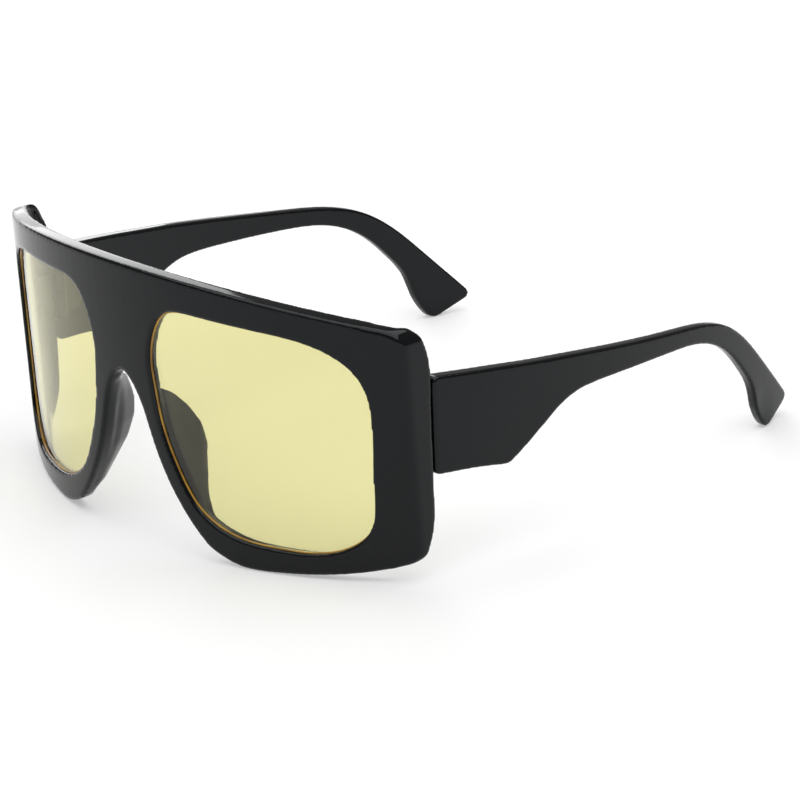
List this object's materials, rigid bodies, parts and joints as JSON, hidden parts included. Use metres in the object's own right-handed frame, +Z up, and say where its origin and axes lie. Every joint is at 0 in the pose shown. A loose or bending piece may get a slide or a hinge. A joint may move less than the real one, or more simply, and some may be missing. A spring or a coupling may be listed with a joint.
{
  "type": "sunglasses",
  "caption": "Oversized wrapped sunglasses: a moulded black front with a high brow, pale yellow curved lenses and deep temples that fold on metal hinges.",
  "frame": {"origin": "middle of the footprint on the table, under the open glasses", "axes": "+X the wearer's left, -Y the way the front looks, +Z up from the table"},
  "size_m": [0.153, 0.175, 0.075],
  "materials": {
    "black_plastic": "polished injection moulding",
    "yellow_lens": "clear tinted polycarbonate",
    "hinge_metal": "satin",
    "screw_metal": "satin"
  },
  "bodies": {
    "front": {"front_frame": "black_plastic", "lens_left": "yellow_lens", "lens_right": "yellow_lens", "hinge_front_leaf_left": "hinge_metal", "hinge_front_leaf_right": "hinge_metal", "hinge_screw_left": "screw_metal", "hinge_screw_right": "screw_metal"},
    "left_temple": {"temple_left": "black_plastic", "hinge_temple_leaf_left": "hinge_metal"},
    "right_temple": {"temple_right": "black_plastic", "hinge_temple_leaf_right": "hinge_metal"}
  },
  "joints": [
    {"name": "left_temple_fold", "type": "hinge", "parent": "front", "child": "left_temple", "pos_m": [0.06785, -0.04985, 0.04], "axis": [0, 0, 1], "range_deg": [0, 74]},
    {"name": "right_temple_fold", "type": "hinge", "parent": "front", "child": "right_temple", "pos_m": [-0.06785, -0.04985, 0.04], "axis": [0, 0, -1], "range_deg": [0, 86]}
  ]
}
